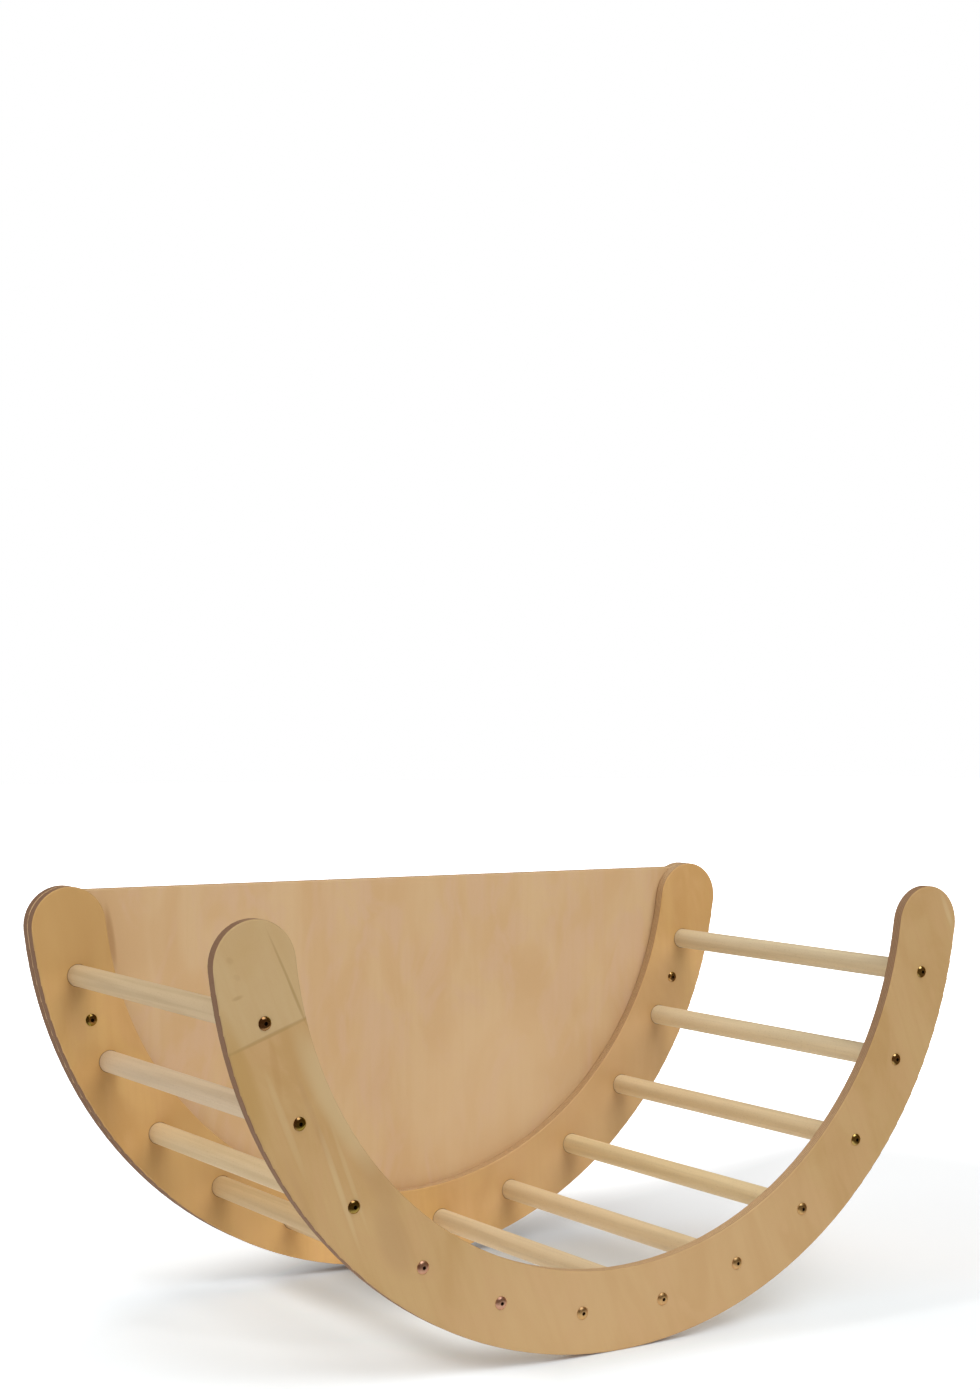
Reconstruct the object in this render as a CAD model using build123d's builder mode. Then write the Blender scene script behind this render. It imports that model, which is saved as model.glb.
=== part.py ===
from build123d import *
import math
import os

# A climbing arch in its rocker position. Two equal C-shaped plywood sides stand on their curved
# backs with their rounded tips up. Twelve round rungs join them, and a half-moon plywood panel
# closes the rear side. X is the length, Y runs from the front side to the panel, Z is up.
# The origin lies under the middle of the bounding box, on the floor.

# Sides, cut from plywood. Each is a band along a circle whose centre line carries the bolts.
bolt_circle_radius = 500
side_width = 100
side_thickness = 15
tip_centre_drop = 57
edge_round = 2

# Panel behind the rear side. It follows the side's outline, half-round tips and all, and its
# straight top edge runs from tip to tip, set a little below them.
panel_thickness = 15
panel_top_setback = 5.5
panel_shoulder_round = 10

# Rungs, seated in blind sockets in the sides' inner faces
rung_count = 12
rung_diameter = 28
clear_width = 488
socket_depth = 6
socket_clearance = 0.15
rung_end_chamfer = 0.5

# Domed furniture bolts with a hex socket, one through a side into each end of each rung
bolt_diameter = 6
bolt_reach = 21
bolt_hole_clearance = 0.25
bolt_tip_room = 4
head_diameter = 15.5
head_height = 3
head_flat_diameter = 6
head_rim = 0.5
hex_across_flats = 4
hex_depth = 2.5

# Threaded inserts in the rung ends
insert_diameter = 10
insert_length = 20
insert_clearance = 0.1
thread_clearance = 0.1

# Sleeve nuts and their bolts, which hold the panel to the rear side near its tips
sleeve_diameter = 9
sleeve_setback = 8
sleeve_clearance = 0.2
sleeve_thread_length = 12
sleeve_thread_room = 2

# Worked out from the sizes above
outer_radius = bolt_circle_radius + side_width / 2
inner_radius = bolt_circle_radius - side_width / 2
half_turn = 180
downward = -half_turn / 2
tip_angle = math.degrees(math.acos(tip_centre_drop / bolt_circle_radius))
tip_start = downward + tip_angle
tip_x = bolt_circle_radius * math.sin(math.radians(tip_angle))
tip_radius = side_width / 2
pitch_angle = half_turn / (rung_count + 1)
rung_fan_angle = (rung_count - 1) * pitch_angle
panel_bolt_fan_angle = (rung_count - 2) * pitch_angle
rung_length = clear_width + 2 * socket_depth
side_floor_thickness = side_thickness - socket_depth
front_bolt_length = side_floor_thickness + bolt_reach
rear_bolt_length = front_bolt_length + panel_thickness
bolt_hole_diameter = bolt_diameter + 2 * bolt_hole_clearance
thread_bore_radius = bolt_diameter / 2 + thread_clearance
sleeve_length = side_thickness + panel_thickness - sleeve_setback
sleeve_hole_diameter = sleeve_diameter + 2 * sleeve_clearance
sleeve_bore_depth = sleeve_thread_length + sleeve_thread_room
panel_bolt_length = sleeve_setback + sleeve_thread_length

# Stations along Y, from the front face to the panel's back
total_depth = side_thickness + clear_width + side_thickness + panel_thickness
front_face_y = -total_depth / 2
front_inner_y = front_face_y + side_thickness
rear_inner_y = front_inner_y + clear_width
panel_front_y = rear_inner_y + side_thickness
panel_back_y = panel_front_y + panel_thickness
rung_front_y = front_inner_y - socket_depth
rung_rear_y = rear_inner_y + socket_depth


def facing_front(y, x=0, z=outer_radius):
    """An upright plane whose normal points to the front. Its local Y axis points up."""
    return Plane(origin=(x, y, z), x_dir=Plane.XZ.x_dir, z_dir=Plane.XZ.z_dir)


def facing_back(y, x=0, z=outer_radius):
    """An upright plane whose normal points to the back. Its local Y axis points up."""
    return Plane(origin=(x, y, z), x_dir=-Plane.XZ.x_dir, z_dir=-Plane.XZ.z_dir)


def rung_points():
    """The twelve bolt places on the bolt circle, evenly spaced about its lowest point."""
    start = downward - rung_fan_angle / 2
    return PolarLocations(bolt_circle_radius, rung_count, start, rung_fan_angle, endpoint=True)


def panel_bolt_points():
    """The two panel fixings, each halfway between the last two rungs of its end."""
    start = downward - panel_bolt_fan_angle / 2
    return PolarLocations(bolt_circle_radius, 2, start, panel_bolt_fan_angle, endpoint=True)


def band_sketch(plane):
    """The side's outline: a band along the bolt circle with a full half-round at each tip."""
    with BuildSketch(plane) as band:
        with BuildLine():
            CenterArc((0, 0), outer_radius, downward - tip_angle, 2 * tip_angle)
            CenterArc((0, 0), inner_radius, downward - tip_angle, 2 * tip_angle)
            CenterArc((tip_x, -tip_centre_drop), tip_radius, tip_start, half_turn)
            CenterArc((-tip_x, -tip_centre_drop), tip_radius, -tip_start, half_turn)
        make_face()
    return band.sketch


def drill(plane, points, diameter, depth):
    """Round holes of one diameter, cut from the plane against its normal."""
    with BuildSketch(plane) as holes:
        with points:
            Circle(diameter / 2)
    extrude(holes.sketch, amount=-depth, mode=Mode.SUBTRACT)


def make_side(inner_plane, outer_plane):
    """A side between its inner face, which holds the rung sockets, and its outer face."""
    with BuildPart() as side:
        extrude(band_sketch(outer_plane), amount=-side_thickness)
        fillet(side.faces().filter_by(Axis.Y).edges(), edge_round)
        drill(inner_plane, rung_points(), rung_diameter + 2 * socket_clearance, socket_depth)
        drill(outer_plane, rung_points(), bolt_hole_diameter, side_thickness)
    return side


def make_bolts(plane, points, length):
    """Bolts whose heads stand on the plane and whose shanks run against its normal."""
    with BuildPart(plane) as bolts:
        with points:
            add(domed_head.part)
        with BuildSketch(plane):
            with points:
                Circle(bolt_diameter / 2)
        extrude(amount=-length)
    return bolts


def make_inserts(plane):
    """Threaded inserts, flush with the rung ends and running against the plane's normal."""
    with BuildPart() as inserts:
        with BuildSketch(plane):
            with rung_points():
                Circle(insert_diameter / 2)
                Circle(thread_bore_radius, mode=Mode.SUBTRACT)
        extrude(amount=-insert_length)
    return inserts


def make_rung(x, z):
    """A round rung with a stepped bore in each end, for the insert and for the bolt's tip."""
    front_end = facing_front(rung_front_y, x, z)
    rear_end = facing_back(rung_rear_y, x, z)
    centre = Locations((0, 0))
    with BuildPart() as rung:
        with BuildSketch(front_end):
            Circle(rung_diameter / 2)
        extrude(amount=-rung_length)
        chamfer(rung.edges(), rung_end_chamfer)
        for end in (front_end, rear_end):
            drill(end, centre, insert_diameter + 2 * insert_clearance, insert_length)
            drill(end, centre, bolt_hole_diameter, bolt_reach + bolt_tip_room)
    return rung


os.makedirs("parts", exist_ok=True)

# Front side
front_arch = make_side(facing_back(front_inner_y), facing_front(front_face_y))
front_arch.part.label = "front_arch"
export_step(front_arch.part, "parts/front_arch.step")

# Rear side, drilled for the panel's sleeve nuts as well
with BuildPart() as rear_arch:
    add(make_side(facing_front(rear_inner_y), facing_back(panel_front_y)).part)
    drill(facing_back(panel_front_y), panel_bolt_points(), sleeve_hole_diameter, side_thickness)
rear_arch.part.label = "rear_arch"
export_step(rear_arch.part, "parts/rear_arch.step")

# Half-moon panel: it follows the side's outer edge, then each tip up and over to the straight top
panel_plane = facing_back(panel_back_y)
shoulder_angle = math.degrees(math.asin((tip_radius - panel_top_setback) / tip_radius))
tip_sweep = half_turn - shoulder_angle - tip_start
with BuildPart() as back_panel:
    with BuildSketch(panel_plane) as half_moon:
        with BuildLine():
            CenterArc((0, 0), outer_radius, downward - tip_angle, 2 * tip_angle)
            right = CenterArc((tip_x, -tip_centre_drop), tip_radius, tip_start, tip_sweep)
            left = CenterArc((-tip_x, -tip_centre_drop), tip_radius, shoulder_angle, tip_sweep)
            Line(right @ 1, left @ 0)
        make_face()
        fillet(half_moon.vertices().group_by(Axis.Y)[-1], panel_shoulder_round)
    extrude(amount=-panel_thickness)
    fillet(back_panel.faces().filter_by(Axis.Y).edges(), edge_round)
    drill(panel_plane, rung_points(), bolt_hole_diameter, panel_thickness)
    drill(panel_plane, panel_bolt_points(), sleeve_hole_diameter, panel_thickness)
back_panel.part.label = "back_panel"
export_step(back_panel.part, "parts/back_panel.step")

# Rungs, numbered from the left end round the bottom to the right end
for number in range(1, rung_count + 1):
    angle = math.radians((number - (rung_count + 1) / 2) * pitch_angle)
    rung_x = bolt_circle_radius * math.sin(angle)
    rung_z = outer_radius - bolt_circle_radius * math.cos(angle)
    rung = make_rung(rung_x, rung_z)
    rung.part.label = f"rung_{number:02d}"
    export_step(rung.part, f"parts/rung_{number:02d}.step")

# The head that all bolts and sleeve nuts share. It has a short upright rim and a dome that
# levels out into a small flat round the hex socket.
flat_end = (head_flat_diameter / 2, head_height)
rim_end = (head_diameter / 2, head_rim)
with BuildPart() as domed_head:
    with BuildSketch(Plane.XZ):
        with BuildLine():
            Polyline(flat_end, (0, head_height), (0, 0), (head_diameter / 2, 0), rim_end)
            TangentArc(flat_end, rim_end, tangent=(1, 0))
        make_face()
    revolve(axis=Axis.Z)
    with BuildSketch(Plane.XY.offset(head_height)):
        RegularPolygon(hex_across_flats / 2, 6, major_radius=False)
    extrude(amount=-hex_depth, mode=Mode.SUBTRACT)

# Fasteners of the rungs
front_rung_bolts = make_bolts(facing_front(front_face_y), rung_points(), front_bolt_length)
front_rung_bolts.part.label = "front_rung_bolts"
export_step(front_rung_bolts.part, "parts/front_rung_bolts.step")

rear_rung_bolts = make_bolts(facing_back(panel_back_y), rung_points(), rear_bolt_length)
rear_rung_bolts.part.label = "rear_rung_bolts"
export_step(rear_rung_bolts.part, "parts/rear_rung_bolts.step")

front_rung_inserts = make_inserts(facing_front(rung_front_y))
front_rung_inserts.part.label = "front_rung_inserts"
export_step(front_rung_inserts.part, "parts/front_rung_inserts.step")

rear_rung_inserts = make_inserts(facing_back(rung_rear_y))
rear_rung_inserts.part.label = "rear_rung_inserts"
export_step(rear_rung_inserts.part, "parts/rear_rung_inserts.step")

# Fixings of the panel: bolts from the inside, into sleeve nuts from the back
panel_bolts = make_bolts(facing_front(rear_inner_y), panel_bolt_points(), panel_bolt_length)
panel_bolts.part.label = "panel_bolts"
export_step(panel_bolts.part, "parts/panel_bolts.step")

with BuildPart(panel_plane) as panel_sleeve_nuts:
    with panel_bolt_points():
        add(domed_head.part)
    with BuildSketch(panel_plane):
        with panel_bolt_points():
            Circle(sleeve_diameter / 2)
    extrude(amount=-sleeve_length)
    with BuildSketch(panel_plane.offset(-sleeve_length)):
        with panel_bolt_points():
            Circle(thread_bore_radius)
    extrude(amount=sleeve_bore_depth, mode=Mode.SUBTRACT)
panel_sleeve_nuts.part.label = "panel_sleeve_nuts"
export_step(panel_sleeve_nuts.part, "parts/panel_sleeve_nuts.step")

rung_pitch = 2 * bolt_circle_radius * math.sin(math.radians(pitch_angle / 2))
print("clear gap between rungs", round(rung_pitch - rung_diameter, 1))
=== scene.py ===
import math

import bpy
import numpy as np
from mathutils import Matrix, Vector


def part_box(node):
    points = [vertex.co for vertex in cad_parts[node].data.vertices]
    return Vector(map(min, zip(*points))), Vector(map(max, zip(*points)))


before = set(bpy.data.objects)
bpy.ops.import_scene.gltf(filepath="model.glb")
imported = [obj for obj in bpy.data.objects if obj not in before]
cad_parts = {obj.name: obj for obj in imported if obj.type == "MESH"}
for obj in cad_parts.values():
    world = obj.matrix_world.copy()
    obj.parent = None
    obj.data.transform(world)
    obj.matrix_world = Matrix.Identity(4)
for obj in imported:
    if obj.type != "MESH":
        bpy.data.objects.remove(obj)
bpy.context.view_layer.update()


# The two curved sides. Each is a C-shaped band cut from 15 mm birch plywood, with a small
# round-over along every edge and clear satin lacquer on the faces. The cutter leaves the edges
# brown, and their thin layers show there. Both sides carry the rungs' bolts in the band's middle.

SIDE_THICKNESS = 0.015
PLY_LAYERS = 11
FACE_VENEER = 0.0011
BOLT_CIRCLE_RADIUS = 0.500
RING_CENTRE_HEIGHT = 0.550
RUNG_PITCH = math.radians(180 / 13)
HIGHEST_RUNG_TOP = 0.450
RUNG_JOINT_RADIUS = 0.0142
RUNG_JOINT_WIDTH = 0.0012
SPLICE_JOINT_WIDTH = 0.0012
FACE_ROUGHNESS = 0.50
EDGE_ROUGHNESS = 0.62


def linear(red, green, blue):
    """A colour as a paint card gives it, 0 to 255, as the linear colour that a shader takes."""
    def one(value):
        value /= 255
        return value / 12.92 if value <= 0.04045 else ((value + 0.055) / 1.055) ** 2.4
    return (one(red), one(green), one(blue), 1.0)


def node(tree, kind, feeds, **options):
    """Adds a node, sets its options and feeds its inputs with numbers, colours or results."""
    made = tree.nodes.new(kind)
    for option, value in options.items():
        setattr(made, option, value)
    for place, value in feeds.items():
        if isinstance(value, bpy.types.NodeSocket):
            tree.links.new(value, made.inputs[place])
        else:
            made.inputs[place].default_value = value
    return made


def calc(tree, operation, *values):
    """The result of one step of arithmetic on numbers or results."""
    return node(tree, "ShaderNodeMath", dict(enumerate(values)), operation=operation).outputs[0]


def sum_of_squares(tree, a, b):
    """a times a plus b times b."""
    return calc(tree, "ADD", calc(tree, "MULTIPLY", a, a), calc(tree, "MULTIPLY", b, b))


def distance(tree, a, b):
    """The straight distance covered by a step a one way and a step b across it."""
    return calc(tree, "SQRT", sum_of_squares(tree, a, b))


def rise(tree, value, start, end, low=0.0, high=1.0):
    """The value low below start and high above end, with a smooth step between."""
    feeds = {"Value": value, "From Min": start, "From Max": end, "To Min": low, "To Max": high}
    return node(tree, "ShaderNodeMapRange", feeds, interpolation_type="SMOOTHSTEP").outputs[0]


def blend(tree, share, under, over, how="MIX"):
    """The colour under, with a share of the colour over it."""
    feeds = {0: share, 6: under, 7: over}
    return node(tree, "ShaderNodeMix", feeds, data_type="RGBA", blend_type=how).outputs[2]


def cloud(tree, place, waves, detail=2.0, roughness=0.5, distortion=0.0):
    """Smooth random values about 0.5. The place has three coordinates, and waves gives how many
    waves to the metre each of them has."""
    scaled = [calc(tree, "MULTIPLY", part, count) for part, count in zip(place, waves)]
    point = node(tree, "ShaderNodeCombineXYZ", dict(enumerate(scaled))).outputs[0]
    feeds = {"Vector": point, "Scale": 1.0, "Detail": detail, "Roughness": roughness,
             "Distortion": distortion}
    return node(tree, "ShaderNodeTexNoise", feeds).outputs[0]


def start_finish(name):
    """A new node material: its tree, its shader and the three object coordinates."""
    finish = bpy.data.materials.new(name)
    finish.use_nodes = True
    tree = finish.node_tree
    place = node(tree, "ShaderNodeTexCoord", {}).outputs["Object"]
    xyz = node(tree, "ShaderNodeSeparateXYZ", {0: place}).outputs
    return finish, tree, tree.nodes["Principled BSDF"], xyz


def add_relief(tree, shader, height, strength):
    """Bumps the surface by a height, at a share of the 0.2 mm that the height stands for."""
    feeds = {"Height": height, "Strength": strength, "Distance": 0.0002}
    bump = node(tree, "ShaderNodeBump", feeds)
    tree.links.new(bump.outputs[0], shader.inputs["Normal"])


def veneer(tree, along, across, seed, pale, deep, rosy):
    """Rotary-cut birch. Cloudy patches a hand wide lean from pale to deep and to rosy, long faint
    streaks follow the grain, and short fine pores lie along it. Gives the colour and a height
    for the bump."""
    patches = cloud(tree, (along, across, seed), (5.0, 13.0, 1.0), 3.0, 0.5, 0.9)
    blush = cloud(tree, (along, across, seed + 3.0), (7.0, 15.0, 1.0), 3.0, 0.6, 1.4)
    streaks = cloud(tree, (along, across, seed + 5.0), (5.0, 90.0, 1.0), 3.0, 0.6, 0.2)
    pores = cloud(tree, (along, across, seed + 13.0), (330.0, 3000.0, 1.0), 1.0)
    colour = blend(tree, rise(tree, patches, 0.36, 0.66), pale, deep)
    colour = blend(tree, rise(tree, blush, 0.44, 0.66, 0.0, 0.75), colour, rosy)
    colour = blend(tree, rise(tree, streaks, 0.40, 0.72, 0.0, 0.30), colour, deep)
    fleck = rise(tree, pores, 0.62, 0.76, 0.0, 0.16)
    colour = blend(tree, fleck, colour, linear(139, 100, 62))
    height = calc(tree, "SUBTRACT", calc(tree, "MULTIPLY", streaks, 0.6), fleck)
    return colour, height


def cut_edge(tree, depth, thickness, x, z, seed, inner_brown):
    """The edge of the plywood. Layers of long grain and of end grain take turns through the
    thickness with dark glue lines between. The cutter browned the outer edge, and the inner
    edge is lighter: the distance from the ring's centre tells which it is. inner_brown is how
    brown the inner edge is at its upper ends."""
    layer = calc(tree, "MULTIPLY", depth, PLY_LAYERS / thickness)
    turn = calc(tree, "MULTIPLY", calc(tree, "FLOOR", layer), 0.5)
    is_end_grain = calc(tree, "GREATER_THAN", calc(tree, "FRACT", turn), 0.25)
    from_layer_middle = calc(tree, "ABSOLUTE",
                             calc(tree, "SUBTRACT", calc(tree, "FRACT", layer), 0.5))
    glue = rise(tree, from_layer_middle, 0.36, 0.48)
    fibres = cloud(tree, (x, depth, z), (160.0, 2600.0, 160.0))
    scorch = cloud(tree, (x, seed, z), (14.0, 1.0, 14.0))
    up = calc(tree, "SUBTRACT", z, RING_CENTRE_HEIGHT)
    is_outer = rise(tree, distance(tree, x, up), BOLT_CIRCLE_RADIUS - 0.02,
                    BOLT_CIRCLE_RADIUS + 0.02)
    colour = blend(tree, is_end_grain, linear(221, 188, 140), linear(191, 152, 112))
    colour = blend(tree, rise(tree, fibres, 0.35, 0.70, 0.0, 0.4), colour, linear(142, 104, 76))
    colour = blend(tree, calc(tree, "MULTIPLY", glue, 0.6), colour, linear(92, 64, 46))
    colour = blend(tree, rise(tree, scorch, 0.35, 0.7, 0.0, 0.35), colour, linear(186, 148, 106))
    brown = calc(tree, "MAXIMUM", calc(tree, "MULTIPLY", is_outer, 0.72),
                 rise(tree, z, 0.12, 0.42, 0.0, inner_brown))
    return blend(tree, brown, colour, linear(106, 71, 56))


def from_nearest_axis(tree, x, z, pitch, first):
    """The distance from the nearest of the axes that stand on the bolt circle, a pitch apart,
    the first of them at that angle from the lowest point."""
    drop = calc(tree, "SUBTRACT", RING_CENTRE_HEIGHT, z)
    angle = calc(tree, "SUBTRACT", calc(tree, "ARCTAN2", x, drop), first)
    step = calc(tree, "ROUND", calc(tree, "DIVIDE", angle, pitch))
    aside = calc(tree, "SUBTRACT", angle, calc(tree, "MULTIPLY", step, pitch))
    along = calc(tree, "MULTIPLY", aside, BOLT_CIRCLE_RADIUS)
    out = calc(tree, "SUBTRACT", distance(tree, x, drop), BOLT_CIRCLE_RADIUS)
    return distance(tree, along, out)


def by_line(tree, x, z, start, end):
    """How far a point lies along a line on the face, counted from the line's middle towards its
    end, and how far above the line. The line's ends are places from the ring's centre."""
    run_x, run_z = [(b - a) / math.dist(start, end) for a, b in zip(start, end)]
    middle_x, middle_z = [(a + b) / 2 for a, b in zip(start, end)]
    right = calc(tree, "SUBTRACT", x, middle_x)
    up = calc(tree, "SUBTRACT", z, middle_z + RING_CENTRE_HEIGHT)
    along = calc(tree, "ADD", calc(tree, "MULTIPLY", right, run_x),
                 calc(tree, "MULTIPLY", up, run_z))
    above = calc(tree, "SUBTRACT", calc(tree, "MULTIPLY", up, run_x),
                 calc(tree, "MULTIPLY", right, run_z))
    return along, above


def streak(tree, x, z, start, end, width):
    """The share of a long soft patch on the face: full along the middle of the line from start
    to end, and nothing outside the ellipse of that width on the line."""
    along, above = by_line(tree, x, z, start, end)
    far = sum_of_squares(tree, calc(tree, "DIVIDE", along, math.dist(start, end) / 2),
                         calc(tree, "DIVIDE", above, width / 2))
    return rise(tree, far, 0.0, 1.0, 1.0, 0.0)


def birch_plywood(name, sheet_front, thickness, grain_lean, seed, tones, marks=(), splice=None,
                  inner_brown=0.0, rungs_enter=None):
    """Lacquered birch plywood standing in the X-Z plane. grain_lean turns the face grain from
    upright towards the right at its lower end. The two faces are different sheets. Each mark is a
    streak on the front face: its two ends, its width, its colour and its strength. A splice is
    a line across the face's left arm, beyond which the veneer is another sheet: its two ends and
    that sheet's tones. On the face that the rungs enter, a thin ring round each rung is painted
    dark as the shade in the socket's gap."""
    finish, tree, shader, (x, y, z) = start_finish(name)
    lean_sine, lean_cosine = math.sin(grain_lean), math.cos(grain_lean)
    along = calc(tree, "SUBTRACT", calc(tree, "MULTIPLY", x, lean_sine),
                 calc(tree, "MULTIPLY", z, lean_cosine))
    across = calc(tree, "ADD", calc(tree, "MULTIPLY", x, lean_cosine),
                  calc(tree, "MULTIPLY", z, lean_sine))
    depth = calc(tree, "SUBTRACT", y, sheet_front)
    is_front = calc(tree, "LESS_THAN", depth, thickness / 2)
    is_back = calc(tree, "SUBTRACT", 1.0, is_front)
    sheets_apart = 3.0
    along = calc(tree, "MULTIPLY_ADD", is_back, sheets_apart, along)
    colour, height = veneer(tree, along, across, seed, *tones)
    if splice:
        start, end, other_tones = splice
        other, _ = veneer(tree, along, across, seed + 2.0, *other_tones)
        _, above = by_line(tree, x, z, start, end)
        is_left = rise(tree, x, 0.0, -0.1)
        beyond = calc(tree, "MULTIPLY", rise(tree, above, 0.0, SPLICE_JOINT_WIDTH), is_left)
        colour = blend(tree, calc(tree, "MULTIPLY", beyond, is_front), colour, other)
    for start, end, width, tint, strength in marks:
        share = calc(tree, "MULTIPLY", streak(tree, x, z, start, end, width), strength)
        colour = blend(tree, calc(tree, "MULTIPLY", share, is_front), colour, tint)
    # Painted shade: a thin ring round each rung, where the socket's gap lies in shadow, is
    # darkened
    if rungs_enter:
        entered = is_front if rungs_enter == "front" else is_back
        low = calc(tree, "MULTIPLY", entered, calc(tree, "LESS_THAN", z, HIGHEST_RUNG_TOP))
        from_rung = from_nearest_axis(tree, x, z, RUNG_PITCH, RUNG_PITCH / 2)
        gap_ring = calc(tree, "COMPARE", from_rung, RUNG_JOINT_RADIUS, RUNG_JOINT_WIDTH / 2)
        gap_shade = calc(tree, "MULTIPLY", calc(tree, "MULTIPLY", gap_ring, low), 0.6)
        colour = blend(tree, gap_shade, colour, linear(86, 54, 30))
    edge = cut_edge(tree, depth, thickness, x, z, seed, inner_brown)
    from_middle = calc(tree, "ABSOLUTE", calc(tree, "SUBTRACT", depth, thickness / 2))
    veneer_inside = thickness / 2 - FACE_VENEER
    is_face = rise(tree, from_middle, veneer_inside - 0.0002, veneer_inside)
    tree.links.new(blend(tree, is_face, edge, colour), shader.inputs["Base Color"])
    smoother = calc(tree, "MULTIPLY", is_face, FACE_ROUGHNESS - EDGE_ROUGHNESS)
    rough = calc(tree, "ADD", smoother, calc(tree, "MULTIPLY_ADD", height, 0.08, EDGE_ROUGHNESS))
    tree.links.new(rough, shader.inputs["Roughness"])
    shader.inputs["Specular IOR Level"].default_value = 0.3
    add_relief(tree, shader, height, 0.25)
    return finish


def dress(names, finish):
    """Gives a finish to the solids of these names."""
    for name in names:
        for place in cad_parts[name].material_slots:
            place.material = finish


front_side_low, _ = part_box("front_arch")
rear_side_low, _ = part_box("rear_arch")
FRONT_TONES = (linear(188, 155, 106), linear(179, 143, 92), linear(187, 151, 104))
TIP_TONES = (linear(187, 159, 115), linear(181, 150, 101), linear(185, 155, 111))
REAR_TONES = (linear(207, 166, 106), linear(197, 153, 94), linear(204, 161, 106))
PALE_STREAK = linear(198, 174, 132)
PALE_BAND = linear(195, 170, 128)
PALE_PATCH = linear(205, 170, 127)
BROWN_STREAK = linear(163, 128, 88)
OLIVE_STREAK = linear(156, 128, 80)
OLIVE_BAND = linear(170, 134, 74)
TAN_STREAK = linear(172, 134, 82)
SHADED_LEFT = linear(186, 147, 92)
SHADED_FOOT = linear(183, 145, 92)
SPLICE_START = (-0.560, -0.1625)
SPLICE_END = (-0.390, -0.101)
# Each mark's start and end from the ring's centre, its width, its colour and its strength.
# The left arm below the splice comes first, then its tip, the right arm and the wide patches.
FRONT_MARKS = (
    ((-0.489, -0.162), (-0.431, -0.304), 0.011, PALE_STREAK, 0.30),
    ((-0.425, -0.222), (-0.362, -0.394), 0.009, PALE_STREAK, 0.45),
    ((-0.408, -0.226), (-0.352, -0.372), 0.007, PALE_STREAK, 0.30),
    ((-0.455, -0.160), (-0.395, -0.300), 0.010, BROWN_STREAK, 0.22),
    ((-0.470, -0.250), (-0.400, -0.400), 0.012, BROWN_STREAK, 0.16),
    ((-0.374, -0.256), (-0.312, -0.350), 0.040, BROWN_STREAK, 0.30),
    ((-0.345, -0.320), (-0.300, -0.430), 0.050, BROWN_STREAK, 0.36),
    ((-0.526, -0.093), (-0.510, -0.088), 0.006, OLIVE_STREAK, 0.45),
    ((-0.532, -0.046), (-0.523, -0.054), 0.009, OLIVE_STREAK, 0.25),
    ((-0.524, -0.065), (-0.514, -0.072), 0.008, OLIVE_STREAK, 0.18),
    ((-0.487, -0.012), (-0.435, -0.120), 0.004, OLIVE_STREAK, 0.60),
    ((-0.462, -0.066), (-0.430, -0.134), 0.004, OLIVE_STREAK, 0.60),
    ((-0.545, -0.090), (-0.475, -0.275), 0.036, OLIVE_BAND, 0.60),
    ((-0.481, -0.125), (-0.464, -0.215), 0.012, TAN_STREAK, 0.45),
    (SPLICE_START, SPLICE_END, 0.006, OLIVE_STREAK, 0.60),
    ((0.517, -0.013), (0.544, -0.070), 0.010, PALE_STREAK, 0.45),
    ((-0.340, -0.480), (0.460, -0.440), 0.300, PALE_PATCH, 0.35),
    ((-0.458, -0.110), (-0.340, -0.310), 0.050, PALE_BAND, 0.70),
)
REAR_MARKS = (
    ((0.050, -0.540), (0.560, -0.120), 0.400, PALE_PATCH, 0.50),
    ((-0.530, 0.080), (-0.500, -0.200), 0.240, SHADED_LEFT, 0.68),
    ((-0.400, -0.300), (-0.200, -0.560), 0.240, SHADED_FOOT, 0.68),
)
dress(["front_arch"], birch_plywood(
    "front_side_plywood", front_side_low.y, SIDE_THICKNESS, math.radians(22), 1.0,
    FRONT_TONES, FRONT_MARKS, splice=(SPLICE_START, SPLICE_END, TIP_TONES), inner_brown=0.54,
    rungs_enter="back"))
dress(["rear_arch"], birch_plywood(
    "rear_side_plywood", rear_side_low.y, SIDE_THICKNESS, math.radians(4), 21.0,
    REAR_TONES, REAR_MARKS, rungs_enter="front"))


# The panel, a half-moon of the same plywood with upright grain and a pinker veneer. It is
# screwed flat against the rear side's outer face and closes the arch.

panel_low, panel_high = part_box("back_panel")
PANEL_TONES = (linear(210, 178, 135), linear(205, 169, 124), linear(208, 174, 139))
PALE_MIDDLE = linear(218, 186, 145)
# Painted shadow: the second panel mark's colour stands for the shadow that the rear side's inner
# edge casts on the panel beside its left arm
PAINTED_EDGE_SHADOW = linear(170, 130, 84)
PANEL_MARKS = (
    ((0.000, -0.420), (0.300, -0.220), 0.300, PALE_MIDDLE, 0.45),
    ((-0.442, -0.024), (-0.427, -0.125), 0.014, PAINTED_EDGE_SHADOW, 0.62),
)
dress(["back_panel"], birch_plywood(
    "panel_plywood", panel_low.y, panel_high.y - panel_low.y, 0.0, 41.0,
    PANEL_TONES, PANEL_MARKS))


# The rungs, twelve beech dowels, sanded smooth and lacquered. Their grain runs their whole
# length, and their ends sit in blind sockets in the sides.

# From the left end round the bottom to the right end, as a paint card gives them. They grow
# paler towards the right, partly each dowel's own tone and partly painted light, as the right
# rungs stand in more light.
RUNG_TONES = (
    (208, 183, 145), (215, 192, 160), (218, 193, 152), (207, 179, 135),
    (211, 184, 142), (220, 198, 158), (224, 203, 166), (226, 203, 163),
    (231, 209, 165), (232, 209, 168), (231, 212, 175), (222, 203, 167),
)
BAND_DEEPER = 12


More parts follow.
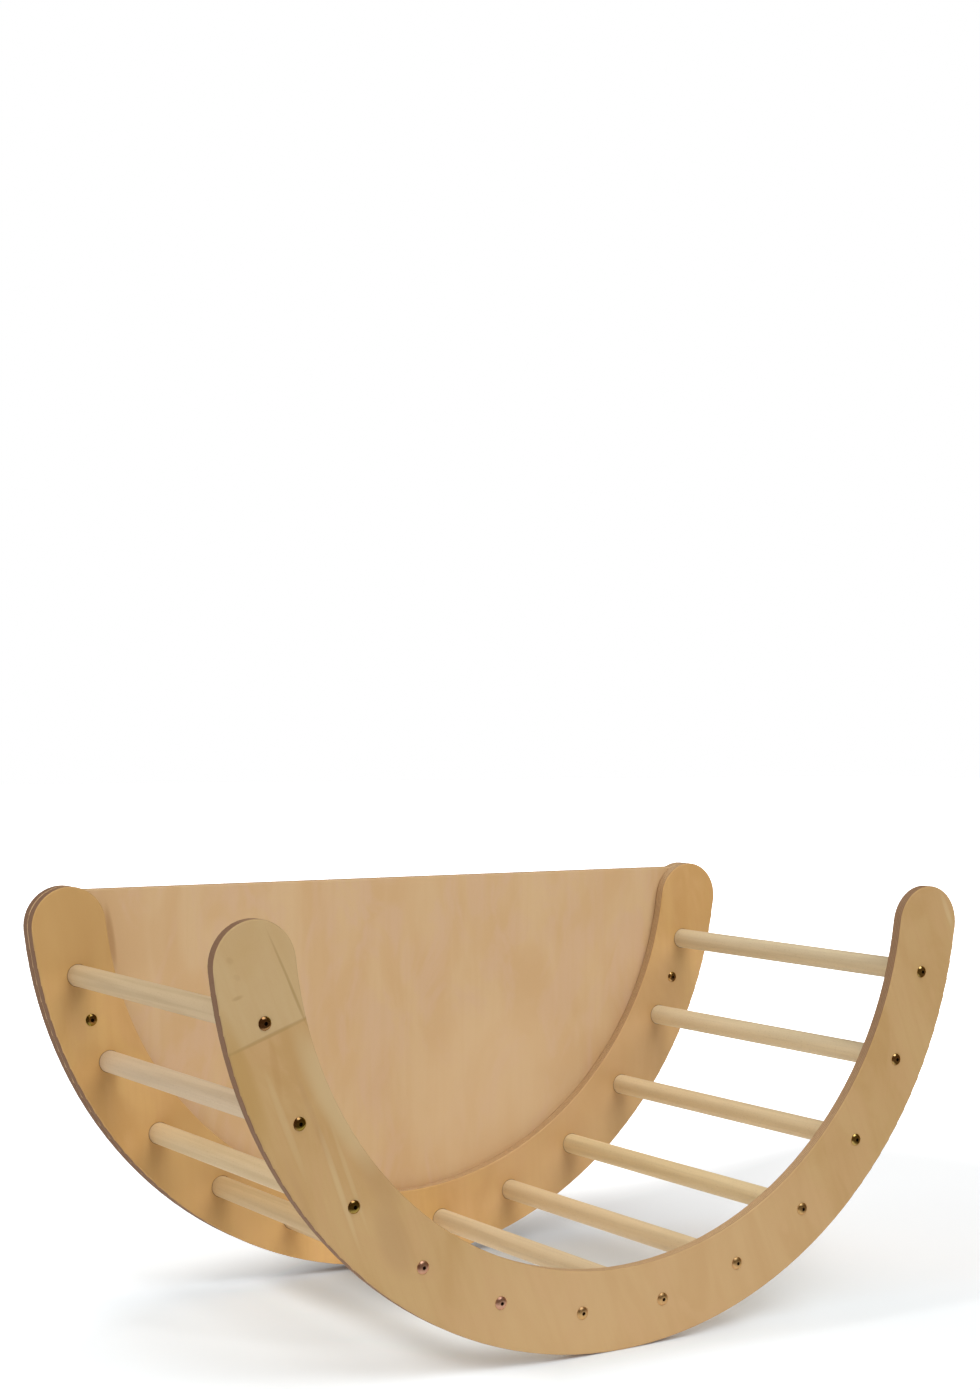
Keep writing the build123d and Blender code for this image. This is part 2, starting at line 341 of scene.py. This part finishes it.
def beech_dowel(name, pale, deep):
    """Turned beech: long pale and darker bands and fine short rays, all along the rung."""
    finish, tree, shader, place = start_finish(name)
    bands = cloud(tree, place, (120.0, 3.0, 120.0), 3.0, 0.55, 0.3)
    rays = cloud(tree, place, (1600.0, 220.0, 1600.0), 1.0)
    colour = blend(tree, rise(tree, bands, 0.36, 0.68), pale, deep)
    fleck = rise(tree, rays, 0.60, 0.74, 0.0, 0.25)
    colour = blend(tree, fleck, colour, linear(158, 120, 80))
    tree.links.new(colour, shader.inputs["Base Color"])
    height = calc(tree, "SUBTRACT", bands, fleck)
    tree.links.new(calc(tree, "MULTIPLY_ADD", height, 0.08, 0.44), shader.inputs["Roughness"])
    shader.inputs["Specular IOR Level"].default_value = 0.35
    add_relief(tree, shader, height, 0.2)
    return finish


for number, tone in enumerate(RUNG_TONES, 1):
    rung = f"rung_{number:02d}"
    deeper_tone = [part - BAND_DEEPER for part in tone]
    dress([rung], beech_dowel(f"{rung}_beech", linear(*tone), linear(*deeper_tone)))


# The bolts that hold the rungs, and the panel's bolts with their sleeve nuts. They are steel
# with domed heads and a hex socket, zinc plated and passivated to a yellow bronze.

BOLTS = ["front_rung_bolts", "rear_rung_bolts", "panel_bolts", "panel_sleeve_nuts"]
SOCKET_RADIUS = 0.0023
# The heights between which the low bolts' tone, partly a painted reflection of the paper, fades
# out, and the places in x between which it turns from pink to gold and the left end's painted
# dark reflection and the right end's paler tone come in
LOW_BOLTS = (0.13, 0.24)
PINK_TO_GOLD = (-0.15, -0.05)
LEFT_BOLTS = (-0.30, -0.36)
RIGHT_BOLTS = (0.22, 0.42)
LEFT_DARK_REFLECTION = (0.74, 0.72, 0.54, 1.0)


def yellow_zinc(name):
    """Passivated zinc plating: gold that drifts to olive and to a pinkish bronze. The low bolts
    are paler and pinker, partly the plating's tone and partly a painted reflection of the bright
    paper. The left end's bolts are painted deeper as a reflection of the dark room, and the right
    end's are paler. The hex sockets are painted dark as shade."""
    finish, tree, shader, (x, y, z) = start_finish(name)
    drift = cloud(tree, (x, y, z), (34.0, 90.0, 34.0), 2.0, 0.6)
    mottle = cloud(tree, (x, y, z), (900.0, 900.0, 900.0))
    olive, bronze = linear(196, 178, 92), linear(212, 164, 130)
    colour = blend(tree, rise(tree, drift, 0.38, 0.62), olive, bronze)
    colour = blend(tree, rise(tree, mottle, 0.4, 0.7, 0.0, 0.4), colour, linear(130, 104, 60))
    pink, gold = linear(236, 184, 166), linear(236, 196, 140)
    # Painted reflection: the low bolts turn paler and pinker, partly their plating and partly the
    # bright paper that they mirror
    low_tone_and_reflection = blend(tree, rise(tree, x, *PINK_TO_GOLD), pink, gold)
    is_low = rise(tree, z, *LOW_BOLTS, 1.0, 0.0)
    colour = blend(tree, calc(tree, "MULTIPLY", is_low, 0.80), colour, low_tone_and_reflection)
    # Painted reflection: the left end's bolts are darkened, as they mirror the dark room
    colour = blend(tree, rise(tree, x, *LEFT_BOLTS), colour, LEFT_DARK_REFLECTION, "MULTIPLY")
    paler = rise(tree, x, *RIGHT_BOLTS, 0.0, 0.45)
    colour = blend(tree, paler, colour, linear(242, 206, 132))
    from_bolt = from_nearest_axis(tree, x, z, RUNG_PITCH / 2, 0.0)
    # Painted shade: the inside of each hex socket is darkened
    socket_shade = rise(tree, from_bolt, SOCKET_RADIUS - 0.0002, SOCKET_RADIUS + 0.0001, 1.0, 0.0)
    colour = blend(tree, calc(tree, "MULTIPLY", socket_shade, 0.85), colour, linear(40, 26, 16))
    tree.links.new(colour, shader.inputs["Base Color"])
    dull = calc(tree, "ADD", rise(tree, mottle, 0.3, 0.7, 0.14, 0.24),
                calc(tree, "MULTIPLY", is_low, 0.22))
    tree.links.new(dull, shader.inputs["Roughness"])
    shader.inputs["Metallic"].default_value = 1.0
    return finish


dress(BOLTS, yellow_zinc("bolt_yellow_zinc"))


# The threaded inserts, plain zinc-plated steel sleeves screwed into both ends of each rung.
# They are hidden inside the rungs once the bolts are in.

INSERTS = ["front_rung_inserts", "rear_rung_inserts"]


def plain_zinc(name):
    """Grey zinc plating with a fine crystal mottle."""
    finish, tree, shader, place = start_finish(name)
    mottle = cloud(tree, place, (1100.0, 1100.0, 1100.0))
    colour = blend(tree, mottle, linear(196, 198, 200), linear(150, 153, 156))
    tree.links.new(colour, shader.inputs["Base Color"])
    tree.links.new(rise(tree, mottle, 0.3, 0.7, 0.28, 0.42), shader.inputs["Roughness"])
    shader.inputs["Metallic"].default_value = 1.0
    return finish


dress(INSERTS, plain_zinc("insert_zinc"))


# The studio floor, white paper without a visible end. Seen straight, it washes out to white
# around the arch, with painted light in places, and has a painted shade beneath it. The bolts
# mirror the paper close to the arch and the dark room beyond, and the paper glows faintly, an
# added light from below.

FLOOR_HALF = 20.0
FLOOR_GLOW = 0.32
ROOM_DARK = 0.09
ROOM_TINT = (1.0, 0.64, 0.34, 1.0)
ROOM_MIRRORED = [ROOM_DARK * part for part in ROOM_TINT[:3]] + [1.0]
PAPER_MIRRORED = (0.80, 0.78, 0.75, 1.0)
PAPER_BOUNCE = ((0.855, 0.865, 0.88, 1.0), (0.865, 0.875, 0.89, 1.0))
PAPER_SEEN = ((0.905, 0.962, 1.0, 1.0), (0.95, 0.96, 0.965, 1.0))
# The distances from the arch's middle between which the mirrored paper fades to the room, and
# the seen paper to pure white
FADE_TO_ROOM = (0.45, 0.85)
FADE_TO_WHITE = (0.9, 2.4)
# The painted shade under the arch: its centre, the radius of its darkest part, the places in x
# between which it changes, and there its reach and the light that it leaves, at the left and the
# right
SHADE_CENTRE = (0.03, 0.15)
SHADE_CORE = 0.12
SHADE_CHANGES = (-0.05, 0.12)
SHADE_REACH = (0.28, 0.36)
SHADE_LIGHT = (0.52, 0.74)
# Where painted light washes the paper out: a direction over it in shares of x and y, how far
# that way the wash begins, where it is full, and how much white it adds
WASHES = (
    (-1.0, 1.0, 0.40, 0.76, 0.32),
    (-1.0, 1.0, -0.30, -0.60, 0.10),
    (1.0, 0.0, -0.20, -0.38, 0.17),
    (0.0, 1.0, -0.27, -0.36, 0.18),
    (-0.25, 1.0, 0.24, 0.49, 0.53),
    (1.0, 0.6, -0.25, -0.40, 0.23),
)


def floor_paper():
    """White paper. Its far parts are pure white to the camera, which hides its end."""
    paper, tree, shader, (x, y, _) = start_finish("floor_paper")
    rays = node(tree, "ShaderNodeLightPath", {}).outputs
    seen = rays["Is Camera Ray"]
    bounce = blend(tree, cloud(tree, (x, y, 0.0), (6.0, 6.0, 1.0)), *PAPER_BOUNCE)
    right_rear = calc(tree, "MULTIPLY_ADD", y, 0.5, x)
    seen_paper = blend(tree, rise(tree, right_rear, 0.2, 0.6), *PAPER_SEEN)
    # Painted shade: seen straight, the paper is darkened under the arch
    from_shade = distance(tree, calc(tree, "SUBTRACT", x, SHADE_CENTRE[0]),
                          calc(tree, "SUBTRACT", y, SHADE_CENTRE[1]))
    reach = rise(tree, x, *SHADE_CHANGES, *SHADE_REACH)
    least = rise(tree, x, *SHADE_CHANGES, *SHADE_LIGHT)
    lit = rise(tree, from_shade, SHADE_CORE, reach, least, 1.0)
    lit_grey = node(tree, "ShaderNodeCombineXYZ", {0: lit, 1: lit, 2: lit}).outputs[0]
    seen_paper = blend(tree, 1.0, seen_paper, lit_grey, "MULTIPLY")
    colour = blend(tree, seen, bounce, seen_paper)
    away = distance(tree, x, y)
    mirrored = blend(tree, rise(tree, away, *FADE_TO_ROOM), PAPER_MIRRORED, ROOM_MIRRORED)
    colour = blend(tree, rays["Is Glossy Ray"], colour, mirrored)
    tree.links.new(colour, shader.inputs["Base Color"])
    white = rise(tree, away, *FADE_TO_WHITE)
    # Painted light: seen straight, the washes brighten the paper in places
    for share_x, share_y, start, end, most in WASHES:
        that_way = calc(tree, "ADD", calc(tree, "MULTIPLY", x, share_x),
                        calc(tree, "MULTIPLY", y, share_y))
        white = calc(tree, "MAXIMUM", white, rise(tree, that_way, start, end, 0.0, most))
    # The paper glows faintly to the pieces above it, an added light from below
    glow = calc(tree, "MULTIPLY", rays["Is Diffuse Ray"], FLOOR_GLOW)
    shader.inputs["Emission Color"].default_value = (1.0, 1.0, 1.0, 1.0)
    tree.links.new(calc(tree, "MULTIPLY_ADD", white, seen, glow),
                   shader.inputs["Emission Strength"])
    shader.inputs["Roughness"].default_value = 0.9
    return paper


corners = np.array([[-1, -1, 0], [1, -1, 0], [1, 1, 0], [-1, 1, 0]]) * FLOOR_HALF
floor_mesh = bpy.data.meshes.new("studio_floor")
floor_mesh.from_pydata(corners.tolist(), [], [(0, 1, 2, 3)])
floor_mesh.materials.append(floor_paper())
studio_floor = bpy.data.objects.new("studio_floor", floor_mesh)
bpy.context.scene.collection.objects.link(studio_floor)


# The surround and the lights. The surround is white to the camera, a dark warm room in the
# bolts' reflections, and a faint light from all sides on everything else. Wide soft lights
# shine from the ceiling, the front, the left and behind. A small one gives the highlights.

AMBIENT = 0.04
surround = bpy.data.worlds.new("surround")
bpy.context.scene.world = surround
surround.use_nodes = True
tree = surround.node_tree
rays = node(tree, "ShaderNodeLightPath", {}).outputs
seen = calc(tree, "MAXIMUM", rays["Is Camera Ray"], rays["Is Transmission Ray"])
strength = calc(tree, "ADD", calc(tree, "MULTIPLY_ADD", seen, 1.0 - AMBIENT, AMBIENT),
                calc(tree, "MULTIPLY", rays["Is Glossy Ray"], ROOM_DARK - AMBIENT))
tint = blend(tree, rays["Is Glossy Ray"], (1.0, 1.0, 1.0, 1.0), ROOM_TINT)
tree.links.new(tint, tree.nodes["Background"].inputs["Color"])
tree.links.new(strength, tree.nodes["Background"].inputs["Strength"])


def studio_light(name, energy, spread, light_from, mirrored=False):
    """A distant soft light: its strength, how many degrees wide it looks, where it shines from,
    and whether shiny pieces mirror it."""
    light = bpy.data.lights.new(name, "SUN")
    light.energy = energy
    light.angle = math.radians(spread)
    lamp = bpy.data.objects.new(name, light)
    bpy.context.scene.collection.objects.link(lamp)
    lamp.rotation_mode = "QUATERNION"
    lamp.rotation_quaternion = Vector(light_from).to_track_quat("Z", "Y")
    lamp.visible_glossy = mirrored


studio_light("ceiling_light", 0.5, 60, (0.1, -0.3, 1.0))
studio_light("front_light", 1.25, 50, (0.2, -1.1, 0.9))
studio_light("side_light", 0.5, 60, (-1.0, -0.1, 0.4))
studio_light("back_light", 1.25, 100, (-0.8, 0.8, 0.9))
studio_light("small_light", 0.76, 40, (0.1, -0.5, 0.9), mirrored=True)


# The camera stands at the arch's left front, a little above its tips, and looks along it. Its
# lens is shifted up, because the arch stands at the bottom of the picture.

CAMERA_PLACE = (-1.5754, -2.3360, 0.7580)
CAMERA_TURN, CAMERA_TILT, CAMERA_ROLL = -33.652, -3.696, -0.482
LENS_MM = 56.70
SENSOR_MM = 36.0
LENS_SHIFT = 0.1187
camera_data = bpy.data.cameras.new("camera")
camera_data.lens = LENS_MM
camera_data.sensor_width = SENSOR_MM
camera_data.shift_y = LENS_SHIFT
camera_data.dof.use_dof = False
camera = bpy.data.objects.new("camera", camera_data)
bpy.context.scene.collection.objects.link(camera)
turn = (Matrix.Rotation(math.radians(CAMERA_TURN), 4, "Z")
        @ Matrix.Rotation(math.radians(CAMERA_TILT), 4, "X")
        @ Matrix.Rotation(math.radians(CAMERA_ROLL), 4, "Y")
        @ Matrix.Rotation(math.radians(90), 4, "X"))
camera.matrix_world = Matrix.Translation(CAMERA_PLACE) @ turn
bpy.context.scene.camera = camera
bpy.context.scene.view_settings.view_transform = "Standard"

bpy.context.view_layer.update()
